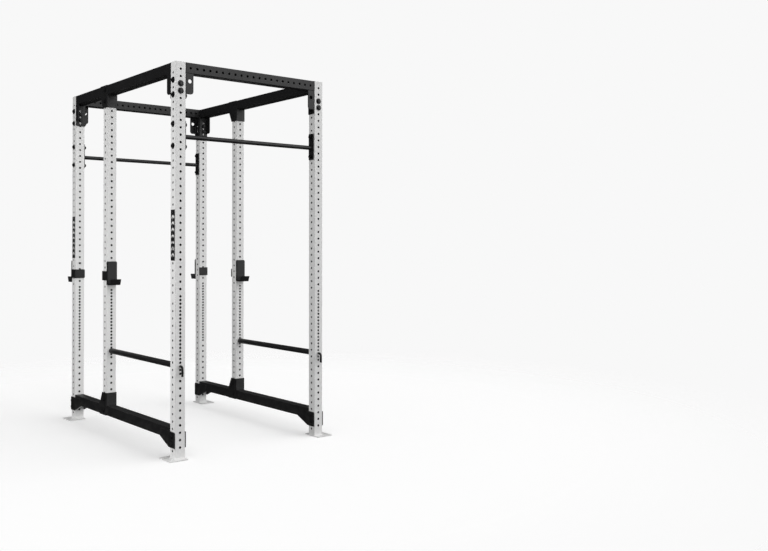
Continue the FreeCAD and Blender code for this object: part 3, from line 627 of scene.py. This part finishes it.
def soften_node(node: bpy.types.Object, width: float, segments: int = 2) -> None:
    """Round a CAD node's edges with modifiers.

    Args:
        node: the CAD node's object.
        width: bevel width in metres.
        segments: faces across each rounded edge.
    """
    weld = node.modifiers.new("Join corners", "WELD")
    weld.merge_threshold = SAME_POINT
    bevel = node.modifiers.new("Eased edges", "BEVEL")
    bevel.width = width
    bevel.segments = segments
    bevel.limit_method = "ANGLE"
    bevel.angle_limit = EASED_ANGLE
    bevel.use_clamp_overlap = False
    bevel.harden_normals = False
    shade = node.modifiers.new("Even shading", "WEIGHTED_NORMAL")
    shade.keep_sharp = True


def islands(node: str) -> list[tuple[Vector, Vector, list[Vector]]]:
    """Split a CAD node into its separate solids.

    Args:
        node: the CAD node's name.

    Returns:
        Each solid's lowest corner, highest corner and points.
    """
    bm = bmesh.new()
    bm.from_mesh(NODES[node].data)
    bmesh.ops.remove_doubles(bm, verts=bm.verts, dist=SAME_POINT)
    left, found = set(bm.verts), []
    while left:
        batch, wave = set(), {left.pop()}
        while wave:
            batch |= wave
            wave = {edge.other_vert(v) for v in wave for edge in v.link_edges} - batch
        left -= batch
        points = [v.co.copy() for v in batch]
        low = Vector(min(p[i] for p in points) for i in range(3))
        high = Vector(max(p[i] for p in points) for i in range(3))
        found.append((low, high, points))
    bm.free()
    return sorted(found, key=lambda entry: tuple(round(c, 5) for c in (*entry[0], *entry[1])))


def lathe(bm: bmesh.types.BMesh, profile: tuple[tuple[float, float], ...], steps: int,
          place: Matrix) -> None:
    """Turn a profile about its own Z axis.

    Args:
        bm: the mesh it joins.
        profile: radius and height of each corner, from end to end on the axis.
        steps: faces round the turn.
        place: where the turned shape goes.
    """
    part = bmesh.new()
    corners = [part.verts.new((radius, 0.0, height)) for radius, height in profile]
    edges = [part.edges.new(pair) for pair in zip(corners, corners[1:])]
    bmesh.ops.spin(part, geom=corners + edges, cent=(0, 0, 0), axis=(0, 0, 1),
                   angle=math.tau, steps=steps, use_merge=True, use_duplicate=False)
    bmesh.ops.remove_doubles(part, verts=part.verts, dist=1e-6)
    join(bm, part, place)


def join(bm: bmesh.types.BMesh, part: bmesh.types.BMesh, place: Matrix) -> None:
    """Move a small mesh into place and add it to a larger one."""
    bmesh.ops.recalc_face_normals(part, faces=part.faces)
    part.transform(place)
    mesh = bpy.data.meshes.new("part")
    part.to_mesh(mesh)
    part.free()
    bm.from_mesh(mesh)
    bpy.data.meshes.remove(mesh)


def aim(origin: Vector, direction: Vector) -> Matrix:
    """Return the placing that turns +Z along a direction from an origin."""
    turn = direction.to_track_quat("Z", "Y").to_matrix().to_4x4()
    return Matrix.Translation(origin) @ turn


# --- weld beads ---

@dataclass
class WeldTorch:
    """Lays rippled beads along edges where plates and tubes meet."""

    radius: float = 0.0034
    station: float = 0.0017
    ripple: float = 0.13
    rhythm: Point = (1.0, 0.45, -0.35)
    end_size: float = 0.55
    sides: int = 8

    def bead(self, bm: bmesh.types.BMesh, path: list[Vector], closed: bool) -> None:
        """Lay one bead.

        Args:
            bm: the mesh it joins.
            path: corners of the bead's centreline.
            closed: whether the bead runs round a tube.
        """
        corners = path + [path[0]] if closed else path
        part, stations = bmesh.new(), []
        for start, end in zip(corners, corners[1:]):
            count = max(1, round((end - start).length / self.station))
            stations += [start.lerp(end, step / count) for step in range(count)]
        if not closed:
            stations.append(corners[-1])
        last = len(stations) - 1
        for number, centre in enumerate(stations):
            before = stations[number - 1] if number or closed else centre
            after = stations[(number + 1) % len(stations)] if number < last or closed else centre
            size = self.radius * (1.0 + self.ripple * self.rhythm[number % len(self.rhythm)])
            if not closed and number in (0, last):
                size *= self.end_size
            place = aim(centre, (after - before).normalized())
            bmesh.ops.create_circle(part, segments=self.sides, radius=size, matrix=place,
                                    cap_ends=not closed and number in (0, last))
        rings = [edge for edge in part.edges]
        bmesh.ops.bridge_loops(part, edges=rings, use_cyclic=closed)
        join(bm, part, Matrix.Identity(4))

    @staticmethod
    def round_tube(centre: Vector, half: float, corner: float) -> list[Vector]:
        """Return a level path round a square tube with rounded corners."""
        path = []
        for quarter in range(4):
            turn = math.radians(90.0 * quarter)
            knee = Vector((half - corner, half - corner, 0.0))
            for step in range(4):
                angle = math.radians(30.0 * step)
                reach = knee + corner * Vector((math.cos(angle), math.sin(angle), 0.0))
                path.append(centre + Matrix.Rotation(turn, 3, "Z") @ reach)
        return path

    @staticmethod
    def round_bar(centre: Vector, radius: float) -> list[Vector]:
        """Return an upright path round a bar that runs along X."""
        turns = [math.tau * step / 24 for step in range(24)]
        return [centre + radius * Vector((0.0, math.cos(t), math.sin(t))) for t in turns]


# --- sub-assemblies ---

@dataclass
class Uprights:
    """Six punched uprights, with their foot plates, caps and labels."""

    shelf: FinishShelf
    torch: WeldTorch = field(default_factory=WeldTorch)
    plate_edge: float = 0.0012
    cap_edge: float = 0.0012
    cap_dish: float = 0.0022
    cap_rim: float = 0.0052
    cap_slope: float = 0.0016
    cap_corner: float = 0.003

    def dress(self) -> None:
        """Give the CAD nodes their finishes and eased edges."""
        for name, node in NODES.items():
            if not name.startswith("upright_") or name in ("upright_labels", "upright_top_caps"):
                continue
            middle = "_mid_" in name
            paint(node, self.shelf.middle_white if middle else self.shelf.corner_white)
        for name in feet():
            paint(NODES[name], self.shelf.plate_white)
            soften_node(NODES[name], self.plate_edge)
        paint(NODES["upright_labels"], self.shelf.label)

    def foot_welds(self) -> None:
        """Weld each corner upright to its foot plate."""
        bm = bmesh.new()
        for name in feet():
            low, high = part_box(name.replace("foot_plate", "upright"))
            plate_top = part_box(name)[1].z
            centre = (low + high) / 2
            half = (high.x - low.x) / 2
            foot = Vector((centre.x, centre.y, plate_top + BEAD_LIFT))
            self.torch.bead(bm, self.torch.round_tube(foot, half, TUBE_CORNER), True)
        piece_from(bm, "foot_welds", self.shelf.weld_white)

    def caps(self) -> None:
        """Mould the plugs in the tops of the corner uprights, dished inside a raised rim."""
        bm = bmesh.new()
        for low, high, _ in islands("upright_top_caps"):
            part = bmesh.new()
            bmesh.ops.create_cube(part, size=1.0)
            size = high - low
            part.transform(Matrix.Diagonal((*size, 1.0)))
            upright = [e for e in part.edges if abs((e.verts[0].co - e.verts[1].co).z) > 1e-6]
            bmesh.ops.bevel(part, geom=upright, offset=self.cap_corner, affect="EDGES",
                            segments=4, profile=0.5, material=-1)
            top = [f for f in part.faces if f.normal.z > 0.9]
            bmesh.ops.inset_region(part, faces=top, thickness=self.cap_rim)
            inner = [f for f in part.faces if f.normal.z > 0.9 and len(f.verts) > 4]
            bmesh.ops.inset_region(part, faces=inner, thickness=self.cap_slope,
                                   depth=-self.cap_dish)
            rim = [e for e in part.edges if len(e.link_faces) == 2
                   and e.calc_face_angle(0.0) > 0.9 and e.verts[0].co.z > 0
                   and e.verts[1].co.z > 0]
            bmesh.ops.bevel(part, geom=rim, offset=self.cap_edge, affect="EDGES", segments=2,
                            profile=0.5, material=-1)
            join(bm, part, Matrix.Translation((low + high) / 2))
        piece = piece_from(bm, "top_caps", self.shelf.plastic)
        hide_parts("upright_top_caps")

    def build(self) -> None:
        """Make and dress everything of the uprights."""
        self.dress()
        self.foot_welds()
        self.caps()


@dataclass
class Beams:
    """Crossmembers, side beams and their flanges, gussets and saddles."""

    shelf: FinishShelf
    torch: WeldTorch = field(default_factory=WeldTorch)
    edge: float = 0.0009
    tube_edge: float = 0.0005
    plate: float = 0.00635
    toe_gap: float = 0.006
    tip_gap: float = 0.004
    side_gap: float = 0.010
    bead_turn: float = 0.010

    @staticmethod
    def run_of(beam: str) -> Run:
        """Return the way a top beam runs, from its name or a gusset's."""
        return Run.LEFT_TO_RIGHT if "crossmember" in beam else Run.FRONT_TO_REAR

    def dress(self) -> None:
        """Give the CAD nodes their finishes and eased edges."""
        for name, node in NODES.items():
            plates = name.endswith(("_flanges", "_gussets", "_saddle"))
            if plates:
                paint(node, self.shelf.black)
                soften_node(node, self.edge)
            elif name.endswith(("_crossmember", "_beam")):
                paint(node, self.shelf.black)
                soften_node(node, self.tube_edge, 1)

    def top_welds(self) -> None:
        """Weld the corner gussets to their beams and flanges, on the inside of each plate."""
        bm = bmesh.new()
        for node in ("front_crossmember_gussets", "rear_crossmember_gussets",
                     "left_top_beam_gussets", "right_top_beam_gussets"):
            along, across = self.run_of(node).value
            beam_low, beam_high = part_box(node.removesuffix("_gussets"))
            middle = (beam_low + beam_high) / 2
            for low, high, _ in islands(node):
                centre = (low + high) / 2
                outward = 1.0 if centre[along] > middle[along] else -1.0
                inward = -1.0 if centre[across] > middle[across] else 1.0
                flange = high[along] if outward > 0 else low[along]
                free = low[along] if outward > 0 else high[along]
                inside = centre[across] + inward * self.plate / 2
                corner, toe, tip = Vector(), Vector(), Vector()
                for point, position, height in ((corner, flange, high.z), (toe, flange, low.z),
                                                (tip, free, high.z)):
                    point[along] = position
                    point[across] = inside
                    point.z = height
                toe.z += self.toe_gap
                tip[along] += self.tip_gap * outward
                self.torch.bead(bm, [toe, corner, tip], False)
        piece_from(bm, "top_beam_welds", self.shelf.weld)

    def flange_welds(self) -> None:
        """Weld each top beam's underside to its flanges."""
        bm = bmesh.new()
        for node in ("front_crossmember", "rear_crossmember", "left_top_beam", "right_top_beam"):
            along, across = self.run_of(node).value
            low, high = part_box(node)
            for end in (low[along], high[along]):
                path = [Vector(), Vector()]
                for point, side in zip(path, (low[across] + self.side_gap,
                                              high[across] - self.side_gap)):
                    point[along] = end
                    point[across] = side
                    point.z = low.z
                self.torch.bead(bm, path, False)
        piece_from(bm, "beam_end_welds", self.shelf.weld)

    def low_welds(self) -> None:
        """Weld the low gussets to both faces of the low beams."""
        bm = bmesh.new()
        for side in ("left", "right"):
            beam_low, beam_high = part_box(f"{side}_low_beam")
            for low, high, _ in islands(f"{side}_low_beam_gussets"):
                outer = (low.x + high.x) / 2 > (beam_low.x + beam_high.x) / 2
                face = beam_high.x if outer else beam_low.x
                rear = low.y > 0
                inner_end = low.y if rear else high.y
                back = 1.0 if rear else -1.0
                start = (beam_high.y if rear else beam_low.y) - back * self.tip_gap
                path = ((start, high.z), (inner_end + back * self.bead_turn, high.z),
                        (inner_end, high.z - self.bead_turn),
                        (inner_end, beam_low.z + self.tip_gap))
                self.torch.bead(bm, [Vector((face, y, z)) for y, z in path], False)
        piece_from(bm, "low_gusset_welds", self.shelf.weld)

    def build(self) -> None:
        """Make and dress everything of the beams."""
        self.dress()
        self.top_welds()
        self.flange_welds()
        self.low_welds()


@dataclass
class PullupBars:
    """Two pull-up bars, welded to their flanges."""

    shelf: FinishShelf
    torch: WeldTorch = field(default_factory=WeldTorch)

    def build(self) -> None:
        """Dress the bars and weld their ends."""
        bm = bmesh.new()
        for station in ("front", "rear"):
            node = NODES[f"{station}_pullup_bar"]
            paint(node, self.shelf.black_bar)
            low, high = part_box(f"{station}_pullup_bar")
            centre = (low + high) / 2
            for end, inward in ((low.x, BEAD_LIFT), (high.x, -BEAD_LIFT)):
                hub = Vector((end + inward, centre.y, centre.z))
                self.torch.bead(bm, self.torch.round_bar(hub, (high.z - low.z) / 2), True)
        piece_from(bm, "pullup_welds", self.shelf.weld)


@dataclass
class Safeties:
    """Pin-and-pipe safeties."""

    shelf: FinishShelf
    edge: float = 0.0007

    def build(self) -> None:
        """Dress the pipes, bushes and pins."""
        for side in ("left", "right"):
            paint(NODES[f"{side}_safety_pipe"], self.shelf.black_bar)
            paint(NODES[f"{side}_safety_bushes"], self.shelf.plastic)
            soften_node(NODES[f"{side}_safety_bushes"], self.edge)
            paint(NODES[f"{side}_safety_pin"], self.shelf.oxide)


@dataclass
class JCups:
    """Four swing-off J-cups with plastic liners."""

    shelf: FinishShelf
    edge: float = 0.0012
    liner_edge: float = 0.0016
    screw_radius: float = 0.0058
    screw_spread: float = 0.024
    screw_drop: float = 0.068
    screw_depth: float = 0.0050
    socket_radius: float = 0.0022
    socket_depth: float = 0.0026
    screw_lip: float = 0.0008
    liner: float = 0.0095

    def screws(self, cup: str) -> None:
        """Set two countersunk socket screws in a liner's upright face.

        Args:
            cup: the J-cup's name.
        """
        low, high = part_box(f"{cup}_liner")
        facing = 1.0 if "_rear_" in cup else -1.0
        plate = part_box(f"{cup}_bracket")
        back = low.y if facing > 0 else high.y
        face = back + facing * self.liner
        rim, socket = self.screw_radius, self.socket_radius
        profile = ((0.0, -self.socket_depth), (socket, -self.socket_depth),
                   (socket + 0.0002, -self.screw_lip / 2), (rim - self.screw_lip, -0.0003),
                   (rim, -self.screw_lip), (rim * 0.55, -self.screw_depth),
                   (0.0, -self.screw_depth))
        bm = bmesh.new()
        for sign in (-1.0, 1.0):
            spot = Vector(((low.x + high.x) / 2 + sign * self.screw_spread, face,
                           plate[1].z - self.screw_drop))
            lathe(bm, profile, ROUND_STEPS, aim(spot, Vector((0.0, facing, 0.0))))
        piece_from(bm, f"{cup}_liner_screws", self.shelf.oxide, cup)

    def build(self) -> None:
        """Dress the cups and add their screws."""
        for station in ("mid", "rear"):
            for side in ("left", "right"):
                cup = f"jcup_{station}_{side}"
                for part, finish, edge in (("bracket", self.shelf.black, self.edge),
                                           ("liner", self.shelf.liner, self.liner_edge),
                                           ("pin", self.shelf.oxide, 0.0)):
                    node = NODES[f"{cup}_{part}"]
                    paint(node, finish)
                    if edge:
                        soften_node(node, edge)
                self.screws(cup)


@dataclass
class Fasteners:
    """Hex bolts, washers and nuts."""

    shelf: FinishShelf
    across: float = 0.0238
    head: float = 0.0099
    shank: float = 0.0079375
    pitch: float = 0.0023
    threads: int = 4
    thread_depth: float = 0.0011
    tip_chamfer: float = 0.0016
    tip_plain: float = 0.0012
    thread_runout: float = 0.001
    turned_radius: float = 0.93
    turned_depth: float = 0.12
    tip_probe: float = 0.006
    washer_edge: float = 0.0005

    def hexagon(self, bm: bmesh.types.BMesh, height: float, bore: float, both_ends: bool,
                place: Matrix) -> None:
        """Make a hexagon with its corners turned down.

        Args:
            bm: the mesh it joins.
            height: along its axis.
            bore: radius of the hole through it, or 0.
            both_ends: turn down both ends, as on a nut.
            place: where it goes.
        """
        part = bmesh.new()
        flat = self.across / 2
        turned, down = self.turned_radius * flat, self.turned_depth * flat
        rings = ((turned, 0.0, 0.0), (flat, down, 1.0), (flat, height - down, -1.0),
                 (turned, height, 0.0))
        if not both_ends:
            rings = ((flat, 0.0, 2.0),) + rings[2:]
        if bore:
            rings = ((bore, rings[0][1], 0.0),) + rings + ((bore, rings[-1][1], 0.0),)
        for number, (radius, rise, kind) in enumerate(rings):
            made = bmesh.ops.create_circle(part, segments=HEXAGON_STEPS, radius=radius,
                                           matrix=Matrix.Translation((0, 0, rise)),
                                           cap_ends=not bore and number in (0, len(rings) - 1))
            for v in made["verts"]:
                if not kind:
                    continue
                angle = math.atan2(v.co.y, v.co.x) % (math.pi / 3) - math.pi / 6
                scale = 1.0 / math.cos(angle)
                v.co.x *= scale
                v.co.y *= scale
                if abs(kind) == 1.0:
                    v.co.z += kind * (scale - 1.0) * flat * 0.5
        loops = [e for e in part.edges]
        bmesh.ops.bridge_loops(part, edges=loops, use_cyclic=bool(bore))
        join(bm, part, place)

    def ends(self, low: Vector, high: Vector, points: list[Vector]) -> tuple[Vector, Vector]:
        """Find a bolt's tip and the outer face of its head.

        Args:
            low: the bolt's lowest corner.
            high: its highest corner.
            points: its points.

        Returns:
            The tip's centre and the head's centre.
        """
        size = high - low
        axis = max(range(3), key=lambda i: size[i])
        centre = (low + high) / 2
        near_low = [p for p in points if p[axis] < low[axis] + self.tip_probe]
        spread = max((p - centre).cross(Vector(int(i == axis) for i in range(3))).length
                     for p in near_low)
        first, last = centre.copy(), centre.copy()
        first[axis], last[axis] = low[axis], high[axis]
        return (last, first) if spread > self.shank * 1.2 else (first, last)

    def bolts(self) -> None:
        """Turn the bolts, with hexagon heads and threaded tips."""
        bm = bmesh.new()
        for low, high, points in islands("hex_bolts"):
            tip, crown = self.ends(low, high, points)
            direction = (crown - tip).normalized()
            length = (crown - tip).length - self.head
            self.hexagon(bm, self.head, 0.0, False, aim(crown - direction * self.head, direction))
            thread = [(0.0, 0.0), (self.shank - self.tip_chamfer, 0.0)]
            for turn in range(self.threads):
                rise = self.tip_plain + turn * self.pitch
                thread += [(self.shank - self.thread_depth, rise),
                           (self.shank, rise + self.pitch / 2)]
            thread += [(self.shank, thread[-1][1] + self.thread_runout), (self.shank, length),
                       (0.0, length)]
            lathe(bm, tuple(thread), ROUND_STEPS, aim(tip, direction))
        piece = piece_from(bm, "cage_bolts", self.shelf.oxide)
        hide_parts("hex_bolts")

    def nuts(self) -> None:
        """Make the nuts, turned down at both ends."""
        bm = bmesh.new()
        for low, high, _ in islands("hex_nuts"):
            size = high - low
            axis = min(range(3), key=lambda i: size[i])
            direction = Vector(int(i == axis) for i in range(3))
            base = (low + high) / 2
            base[axis] = low[axis]
            self.hexagon(bm, size[axis], self.shank, True, aim(base, direction))
        piece = piece_from(bm, "cage_nuts", self.shelf.oxide)
        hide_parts("hex_nuts")

    def build(self) -> None:
        """Make the bolts and nuts, and dress the washers."""
        self.bolts()
        self.nuts()
        paint(NODES["flat_washers"], self.shelf.oxide)
        soften_node(NODES["flat_washers"], self.washer_edge, 1)


# --- studio ---

@dataclass
class Studio:
    """Pale floor, soft light and the camera."""

    paper: float = 0.939
    bounce: float = 0.22
    floor_colour: float = 0.80
    floor_fill: float = 0.36
    floor_unlit: float = 0.02
    fade: Band = (2.6, 5.5)
    glow_from: Point = (0.64, -0.77, 0.10)
    glow_spread: Band = (0.20, 0.95)
    glow_strength: Band = (0.05, 1.75)
    camera_place: Point = (-3.3872, -6.5146, 1.4664)
    camera_pitch: float = 0.482
    camera_heading: float = -39.867
    lens: float = 41.10
    rise: float = -0.0470
    floor_size: float = 30.0
    overhead_power: float = 1.25
    overhead_spread: float = 100.0
    overhead_from: Point = (-0.1, -0.05, 1.0)
    left_power: float = 98.0
    left_place: Point = (-4.1, -0.7, 1.6)
    left_size: Band = (1.8, 3.0)

    def camera(self) -> None:
        """Aim the camera."""
        data = bpy.data.cameras.new("camera")
        data.lens = self.lens
        data.sensor_width = 36.0
        data.shift_y = self.rise
        data.clip_end = 200.0
        camera = show("camera", data)
        camera.location = self.camera_place
        camera.rotation_euler = (math.radians(90.0 + self.camera_pitch), 0.0,
                                 math.radians(self.camera_heading))
        bpy.context.scene.camera = camera

    def floor(self) -> bpy.types.Object:
        """Lay a pale floor that fades into the background.

        Returns:
            The floor.
        """
        bm = bmesh.new()
        bmesh.ops.create_circle(bm, cap_ends=True, segments=64, radius=self.floor_size)
        mesh = bpy.data.meshes.new("floor")
        bm.to_mesh(mesh)
        bm.free()
        floor = show("floor", mesh)
        mesh.materials.append(self.floor_paint())
        return floor

    def floor_paint(self) -> bpy.types.Material:
        """Matt paper that fades out well away from the cage.

        Returns:
            The floor's material.
        """
        material = bpy.data.materials.new("Studio floor")
        material.use_nodes = True
        bench = NodeBench(material.node_tree)
        place = bench.add("ShaderNodeTexCoord").outputs["Object"]
        length = bench.add("ShaderNodeVectorMath", operation="LENGTH")
        bench.feed(length.inputs[0], place)
        fade = bench.remap(length.outputs["Value"], *self.fade)
        matt = bench.add("ShaderNodeBsdfPrincipled")
        matt.inputs["Base Color"].default_value = (*[self.floor_colour] * 3, 1.0)
        matt.inputs["Roughness"].default_value = 1.0
        matt.inputs["Specular IOR Level"].default_value = 0.0
        matt.inputs["Emission Color"].default_value = (1.0, 1.0, 1.0, 1.0)
        matt.inputs["Emission Strength"].default_value = self.floor_fill
        clear = bench.add("ShaderNodeBsdfTransparent")
        shown = bench.layer(fade, matt.outputs[0], clear.outputs[0])
        rays = bench.add("ShaderNodeLightPath")
        bounce = bench.add("ShaderNodeEmission")
        dim = bench.math("MULTIPLY", rays.outputs["Is Diffuse Ray"], self.bounce)
        bench.feed(bounce.inputs["Strength"], bench.math("ADD", dim, self.floor_unlit))
        bench.put_out(bench.layer(rays.outputs["Is Camera Ray"], bounce.outputs[0], shown))
        return material

    def surroundings(self) -> None:
        """Wrap the cage in a soft surround, brightest at the front right."""
        world = bpy.data.worlds.new("Studio")
        world.use_nodes = True
        bench = NodeBench(world.node_tree)
        place = bench.add("ShaderNodeTexCoord").outputs["Generated"]
        towards = bench.add("ShaderNodeVectorMath", operation="DOT_PRODUCT")
        bench.feed(towards.inputs[0], place)
        towards.inputs[1].default_value = Vector(self.glow_from).normalized()
        glow = bench.remap(towards.outputs["Value"], *self.glow_spread, *self.glow_strength)
        soft = bench.add("ShaderNodeBackground")
        bench.feed(soft.inputs["Color"], (1.0, 1.0, 1.0, 1.0))
        bench.feed(soft.inputs["Strength"], glow)
        seen = bench.add("ShaderNodeBackground")
        seen.inputs["Color"].default_value = (*[self.paper] * 3, 1.0)
        rays = bench.add("ShaderNodeLightPath").outputs
        mix = bench.layer(rays["Is Camera Ray"], soft.outputs[0], seen.outputs[0])
        bench.put_out(mix, "ShaderNodeOutputWorld")
        bpy.context.scene.world = world

    def hang(self, data: bpy.types.Light, source: Vector) -> bpy.types.Object:
        """Hang a light that no gloss mirrors.

        Args:
            data: the light.
            source: direction from the cage to the light.

        Returns:
            The light's object.
        """
        light = show(data.name, data)
        light.rotation_euler = source.to_track_quat("Z", "Y").to_euler()
        light.visible_glossy = False
        return light

    def lights(self, floor: bpy.types.Object) -> None:
        """Hang a broad light overhead and a tall one on the left, which leaves the floor out.

        Args:
            floor: the floor.
        """
        above = bpy.data.lights.new("overhead softbox", "SUN")
        above.energy = self.overhead_power
        above.angle = math.radians(self.overhead_spread)
        self.hang(above, Vector(self.overhead_from))
        tall = bpy.data.lights.new("left softbox", "AREA")
        tall.shape = "RECTANGLE"
        tall.size, tall.size_y = self.left_size
        tall.energy = self.left_power
        light = self.hang(tall, Vector((-1.0, 0.0, 0.0)))
        light.location = self.left_place
        others = bpy.data.collections.new("not lit from the left")
        others.objects.link(floor)
        light.light_linking.receiver_collection = others
        others.collection_objects[0].light_linking.link_state = "EXCLUDE"

    def build(self) -> None:
        """Set up the studio."""
        self.camera()
        floor = self.floor()
        self.surroundings()
        self.lights(floor)
        view = bpy.context.scene.view_settings
        view.view_transform = "Standard"
        view.look = "None"


def main() -> None:
    """Build the studio, then each sub-assembly in order."""
    logging.basicConfig(level=logging.INFO, format="%(name)s %(message)s")
    Studio().build()
    shelf = FinishShelf(Effects())
    for assembly in (Uprights(shelf), Beams(shelf), PullupBars(shelf), Safeties(shelf),
                     JCups(shelf), Fasteners(shelf)):
        assembly.build()
        log.info("%s done", type(assembly).__name__)


if __name__ == "__main__":
    main()
